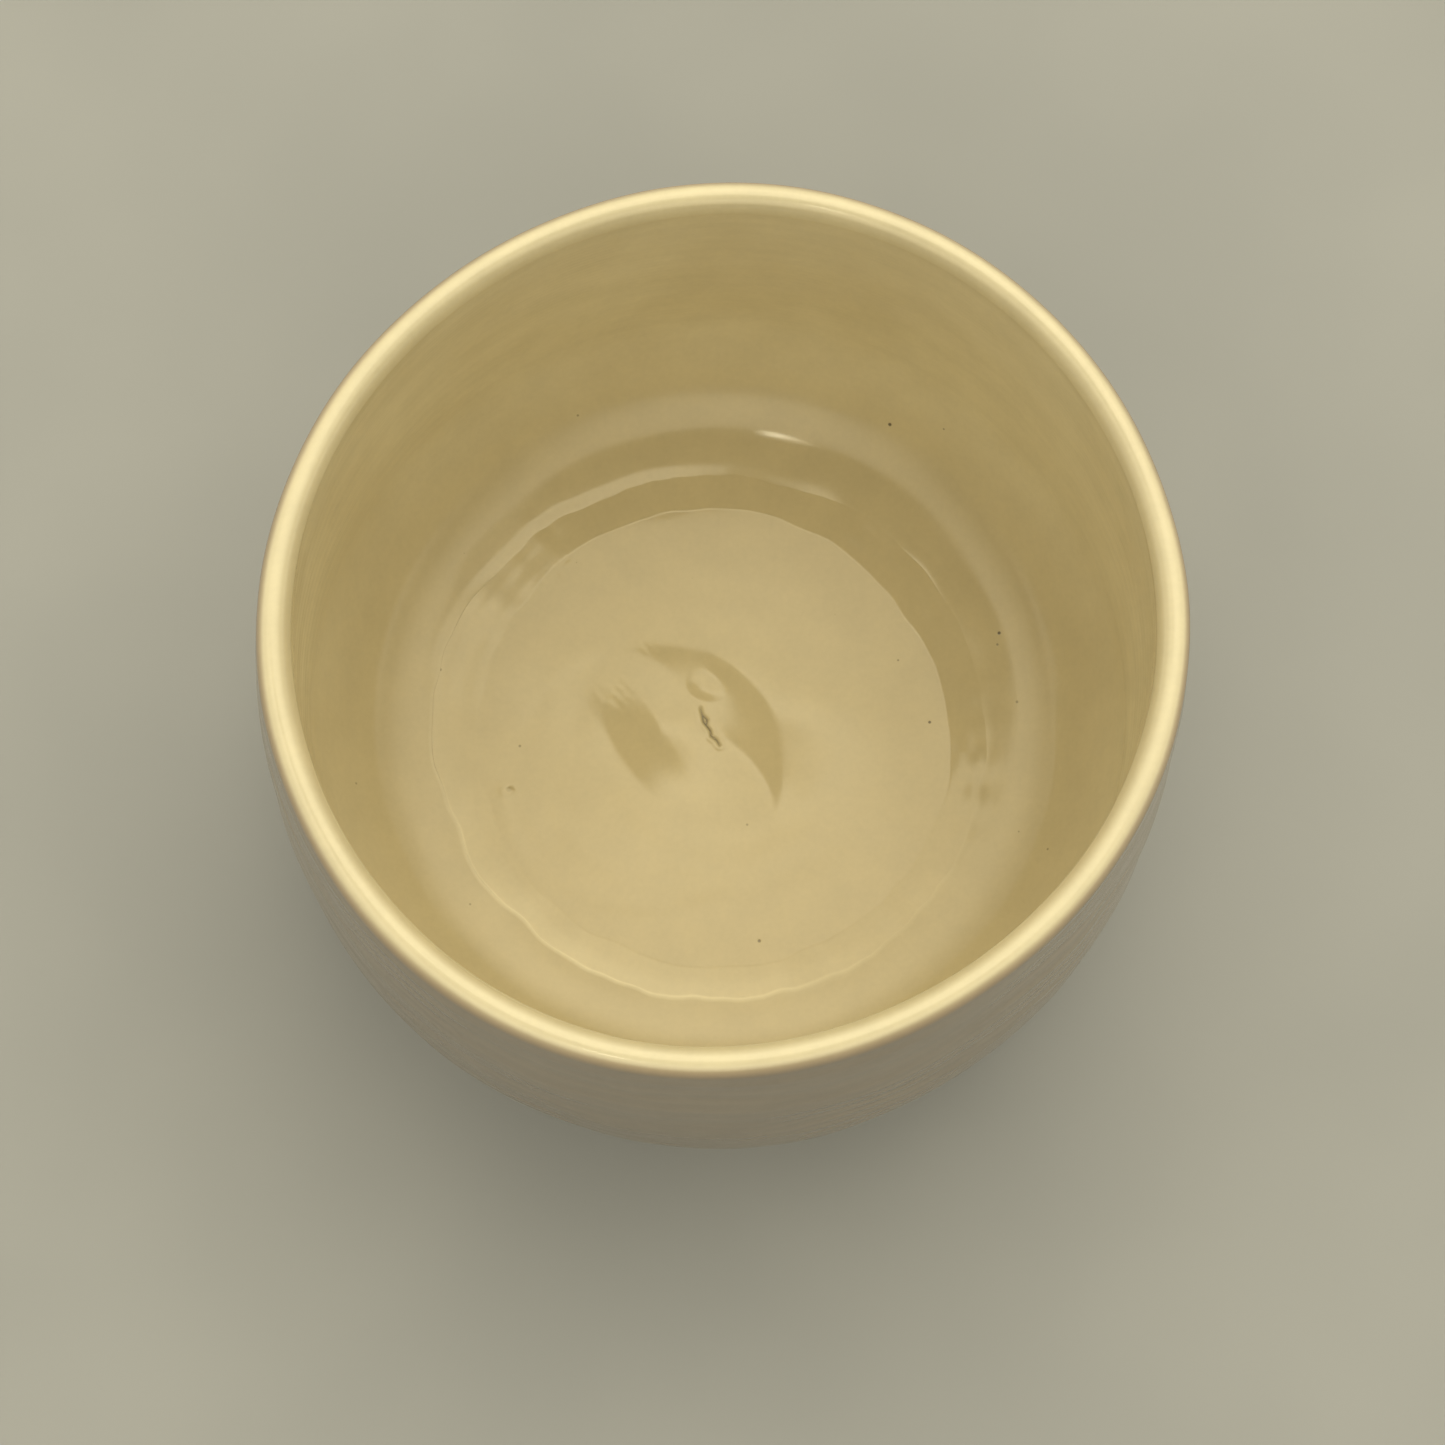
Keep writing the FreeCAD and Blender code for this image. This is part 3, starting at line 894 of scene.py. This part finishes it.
def clay_toast(points):
    """The bare clay is toasted along the edge of the glaze."""
    return 0.8 * smooth(30.5, 33.5, np.hypot(points[:, 0], points[:, 1]))


def foot_toast(points):
    """So is the top of the foot."""
    return 0.6 * smooth(4.5, 7.0, points[:, 2])


glaze_edge = 4.2 + 1.0 * np.cos(2 * AROUND + 0.5) + 0.5 * np.cos(3 * AROUND - 1.0) + 0.35 * fine_edge(
    np.stack([33 * np.cos(AROUND), 33 * np.sin(AROUND), 0 * AROUND], -1)
)
well_edge = run_at_radius(crease_radius(AROUND))

v_outside = make_wall_coat(
    "v_outside_glaze", glaze_edge, np.full(SEGMENTS, SEAM_OUT), 106, 16, thin_start=True,
    marks={"pool_and_painted_shade": outer_pool, "thin_and_painted_light": outer_thin},
)
# The lip's marks paint a highlight on its crest, and painted shade on its inner shoulder and past its crest
# outside.
v_lip = make_wall_coat(
    "v_lip_glaze", np.full(SEGMENTS, SEAM_OUT), np.full(SEGMENTS, SEAM_IN), 60, 24,
    marks={"pool_and_painted_shade": lip_painted_shade_inside, "thin_and_painted_light": lip_thin_and_highlight, "outer": lip_painted_shade_outside},
)
v_inside = make_wall_coat(
    "v_inside_glaze", np.full(SEGMENTS, SEAM_IN), well_edge, 106, 16,
    marks={"pool_and_painted_shade": inner_pool, "thin_and_painted_light": crease_thin_and_lit},
)
v_well = make_well_coat("v_well_glaze", {"pool_and_painted_shade": none, "thin_and_painted_light": crease_thin_and_lit, "crack": crack_mark})
v_clay = make_clay_body("v_clay_body", {"toast": clay_toast})
v_foot = make_foot_ring("v_foot_ring", {"toast": foot_toast})

for piece, node, slot in (
    (v_outside, "outside_glaze", "outside_glaze"),
    (v_lip, "lip_glaze", "lip_glaze"),
    (v_inside, "inside_glaze", "inside_glaze"),
    (v_well, "well_glaze", "well_glaze"),
    (v_clay, "clay_body", "stoneware"),
    (v_foot, "foot_ring", "foot_clay"),
):
    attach(piece, "root")
    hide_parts(node)

# Base, pooled and thinner-glaze tones. The pale third tone also paints the lip's highlight and light at the
# well's edge; the pooled tone also paints shade inside the lip.
INSIDE_TONES = (rgb(0.775, 0.71, 0.52), rgb(0.61, 0.525, 0.335), rgb(0.86, 0.785, 0.58))
WELL_TONES = (rgb(0.61, 0.525, 0.335), rgb(0.59, 0.50, 0.31), rgb(0.90, 0.82, 0.60))
# Painted shade: the outside gets far darker tones than the inner glaze, standing in for the shade on the
# outer wall.
PAINTED_SHADE_OUTSIDE_TONES = (rgb(0.33, 0.285, 0.235), rgb(0.28, 0.235, 0.185), rgb(0.46, 0.39, 0.30))

# Small flaws in the glaze: place, radius, depth of the pinhole, darkness.
WALL_FLAWS = [
    (wall_spot(65, 20.9), 0.32, 0.03, 0.9), (wall_spot(57, 24.3), 0.20, 0.01, 0.5),
    (wall_spot(24, 16.1), 0.30, 0.03, 0.9), (wall_spot(22, 15.9), 0.22, 0.02, 0.6),
    (wall_spot(10, 16.1), 0.25, 0.02, 0.45), (wall_spot(345, 16.8), 0.20, 0.01, 0.5),
    (wall_spot(343, 19.6), 0.22, 0.01, 0.45), (wall_spot(195, 21.0), 0.22, 0.01, 0.4),
    (wall_spot(118, 20.0), 0.22, 0.01, 0.5), (wall_spot(221, 16.0), 0.22, 0.01, 0.4),
]
FLOOR_FLAWS = [
    (floor_spot(8.8, 40.6, 15.5), 0.34, 0.03, 0.95), (floor_spot(10.3, 37.4, 14.8), 0.30, 0.02, 0.6),
    (floor_spot(11.4, 37.2, 14.8), 0.26, 0.02, 0.5), (floor_spot(-5.3, 23.3), 0.26, 0.03, 0.85),
    (floor_spot(-0.4, 18.7), 0.2, 0.01, 0.4), (floor_spot(26.0, 13.2), 0.2, 0.01, 0.5),
    (floor_spot(31.2, 4.1), 0.26, 0.03, 0.8), (floor_spot(8.6, -30.5), 0.28, 0.02, 0.7),
    (floor_spot(5.6, -13.5), 0.22, 0.01, 0.4), (floor_spot(-41.0, 5.9, 15.4), 0.26, 0.01, 0.5),
    (floor_spot(-28.4, -4.4), 0.24, 0.02, 0.45), (floor_spot(-29.4, -11.0), 0.5, 0.0, 0.18),
]

for piece, node, material in (
    (v_outside, "outside_glaze", glaze("outer glaze", *PAINTED_SHADE_OUTSIDE_TONES, comb=0.001, rough=0.16, iron=0.05)),
    (v_lip, "lip_glaze", glaze("lip glaze", *INSIDE_TONES, rough=0.13, outer=PAINTED_SHADE_OUTSIDE_TONES)),
    (v_inside, "inside_glaze", glaze("inner glaze", *INSIDE_TONES, spots=WALL_FLAWS, comb=0.003, rough=0.12)),
    (v_well, "well_glaze", glaze("well glaze", *WELL_TONES, spots=FLOOR_FLAWS, rough=0.07, crack=True)),
    (v_clay, "clay_body", bare_clay("body clay", rgb(0.52, 0.40, 0.28), rgb(0.50, 0.29, 0.15), 1.3)),
    (v_foot, "foot_ring", bare_clay("foot clay", rgb(0.54, 0.42, 0.30), rgb(0.50, 0.31, 0.17), 1.1)),
):
    piece.data.materials.append(material)
    hidden_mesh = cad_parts[node].data
    hidden_mesh.materials.clear()
    hidden_mesh.materials.append(material)

# ---------------------------------------------------------------- floor, light and camera


def make_floor():
    """A pale round floor that curves up far from the bowl."""
    reach = np.array([0.15, 0.4, 0.9, 1.6, 2.2, 2.6, 2.9, 3.1, 3.25, 3.35, 3.4])
    lift = np.array([0.0, 0.0, 0.0, 0.0, 0.0, 0.04, 0.12, 0.26, 0.45, 0.65, 0.85])
    theta = np.arange(96) / 96 * TURN
    shell = Shell()
    rings = [
        shell.ring(np.stack([r * np.cos(theta), r * np.sin(theta), np.full(96, z)], 1) / MM)
        for r, z in zip(reach, lift)
    ]
    for a, b in zip(rings, rings[1:]):
        shell.bridge(b, a)
    shell.close(rings[0], (0, 0, 0))
    floor = shell.build("floor", {})
    paint = Paint("floor")
    tone = paint.mix(paint.ramp(paint.noise(60, 2.0), 0.3, 0.7), rgb(0.41, 0.43, 0.47), rgb(0.44, 0.46, 0.50))
    paint.put(paint.shader.inputs["Base Color"], tone)
    paint.shader.inputs["Roughness"].default_value = 0.9
    floor.data.materials.append(paint.material)


make_floor()

# Light: a sky that is brighter overhead and behind the bowl, with soft panels low at both sides. On it
# lie a ceiling, a strip and a window behind the bowl, a front panel, a small bulb, and a dim gap
# overhead, which the glossy well reflects as its darker shapes.
HAZE, SIDES, CEILING, WINDOW, STRIP, FRONT, BULB = 0.08, 1.2, 0.45, 0.8, 0.85, 1.2, 14.0
GAP_DIMMING = 0.92
world = bpy.data.worlds.new("studio")
bpy.context.scene.world = world
world.use_nodes = True
tree = world.node_tree
back = tree.nodes["Background"]
back.inputs["Color"].default_value = rgb(1.0, 0.91, 0.65)


def world_math(operation, *values):
    node = tree.nodes.new("ShaderNodeMath")
    node.operation = operation
    for socket, value in zip(node.inputs, values):
        if isinstance(value, bpy.types.NodeSocket):
            tree.links.new(value, socket)
        else:
            socket.default_value = value
    return node.outputs[0]


def world_ramp(value, low, high, start, end):
    node = tree.nodes.new("ShaderNodeMapRange")
    node.interpolation_type = "SMOOTHSTEP"
    node.inputs["From Min"].default_value, node.inputs["From Max"].default_value = low, high
    node.inputs["To Min"].default_value, node.inputs["To Max"].default_value = start, end
    tree.links.new(value, node.inputs["Value"])
    return node.outputs["Result"]


def world_patch(x, y, wide, deep, lean, inner, outer):
    """1 inside an oval patch of the upper sky, 0 outside it. Places are slopes away from straight up."""
    c, d = math.cos(lean), math.sin(lean)
    du, dv = world_math("SUBTRACT", sky_u, x), world_math("SUBTRACT", sky_v, y)
    u = world_math("ADD", world_math("MULTIPLY", du, c / wide), world_math("MULTIPLY", dv, d / wide))
    v = world_math("SUBTRACT", world_math("MULTIPLY", dv, c / deep), world_math("MULTIPLY", du, d / deep))
    away = world_math("SQRT", world_math("ADD", world_math("MULTIPLY", u, u), world_math("MULTIPLY", v, v)))
    return world_math("MULTIPLY", world_ramp(away, inner, outer, 1.0, 0.0), overhead)


sky = tree.nodes.new("ShaderNodeSeparateXYZ")
tree.links.new(tree.nodes.new("ShaderNodeTexCoord").outputs["Generated"], sky.inputs[0])
overhead = world_math("GREATER_THAN", sky.outputs["Z"], 0.02)
rise = world_math("MAXIMUM", sky.outputs["Z"], 0.02)
sky_u = world_math("DIVIDE", sky.outputs["X"], rise)
sky_v = world_math("DIVIDE", sky.outputs["Y"], rise)
ceiling = world_patch(0.10, 0.45, 0.75, 0.65, 0.0, 0.2, 1.7)
bulb = world_patch(-0.105, -0.42, 0.04, 0.04, 0.0, 0.6, 1.3)
front = world_patch(0.0, -1.25, 1.2, 0.7, 0.0, 0.0, 1.5)
strip = world_patch(0.0, 0.19, 0.5, 0.09, 0.0, 0.0, 1.4)
window = world_patch(0.12, 1.05, 0.6, 0.45, 0.0, 0.1, 1.6)
gap_front = world_patch(-0.02, -0.175, 0.42, 0.30, 0.0, 0.8, 1.2)
gap_left = world_patch(-0.26, 0.10, 0.19, 0.22, 0.0, 0.7, 1.3)
gap = world_math("MAXIMUM", gap_front, gap_left)
gap_right = world_math("MULTIPLY", world_patch(0.37, 0.04, 0.16, 0.19, 0.0, 0.6, 1.3), 0.6)
gap = world_math("MAXIMUM", gap, gap_right)
upper = world_ramp(sky.outputs["Z"], 0.50, 0.90, 0.0, 1.05)
behind = world_ramp(sky.outputs["Y"], -0.3, 0.9, 0.0, 0.85)
sideways = world_ramp(world_math("ABSOLUTE", sky.outputs["X"]), 0.70, 0.95, 0.0, 1.0)
above_horizon = world_ramp(sky.outputs["Z"], 0.06, 0.20, 0.0, 1.0)
low = world_math("MULTIPLY", above_horizon, world_ramp(sky.outputs["Z"], 0.45, 0.65, 1.0, 0.0))
light = world_math("ADD", world_math("ADD", upper, behind), HAZE)
light = world_math("MULTIPLY_ADD", world_math("MULTIPLY", sideways, low), SIDES, light)
light = world_math("MULTIPLY_ADD", ceiling, CEILING, light)
light = world_math("MULTIPLY_ADD", window, WINDOW, light)
light = world_math("MULTIPLY_ADD", strip, STRIP, light)
light = world_math("MULTIPLY_ADD", front, FRONT, light)
light = world_math("MULTIPLY", light, world_math("MULTIPLY_ADD", gap, -GAP_DIMMING, 1.0))
light = world_math("MULTIPLY_ADD", bulb, BULB, light)
tree.links.new(light, back.inputs["Strength"])

# The camera stands in front of the bowl and looks steeply down into it. STAND is from the middle of
# the rim, in radii of the mouth.
LENS, SENSOR = 74.74, 36.0
LOOK_DOWN, ROLL = math.radians(74.5), math.radians(4.5)
STAND = Vector((0.015, -2.014, 6.323)) * LIP_CENTRE[0] * MM
ahead = Vector((0, math.cos(LOOK_DOWN), -math.sin(LOOK_DOWN)))
above = Vector((0, math.sin(LOOK_DOWN), math.cos(LOOK_DOWN)))
level = Vector((1, 0, 0))
right = math.cos(ROLL) * level + math.sin(ROLL) * above
up = -math.sin(ROLL) * level + math.cos(ROLL) * above
camera_data = bpy.data.cameras.new("camera")
camera_data.lens, camera_data.sensor_width = LENS, SENSOR
camera_data.clip_start, camera_data.clip_end = 0.01, 50
camera = bpy.data.objects.new("camera", camera_data)
camera.matrix_world = (
    Matrix.Translation(Vector((0, 0, RIM_TOP * MM)) + STAND)
    @ Matrix((right, up, -ahead)).transposed().to_4x4()
)
bpy.context.scene.collection.objects.link(camera)
bpy.context.scene.camera = camera

bpy.context.scene.view_settings.view_transform = "Standard"
bpy.context.scene.view_settings.exposure = 0.0
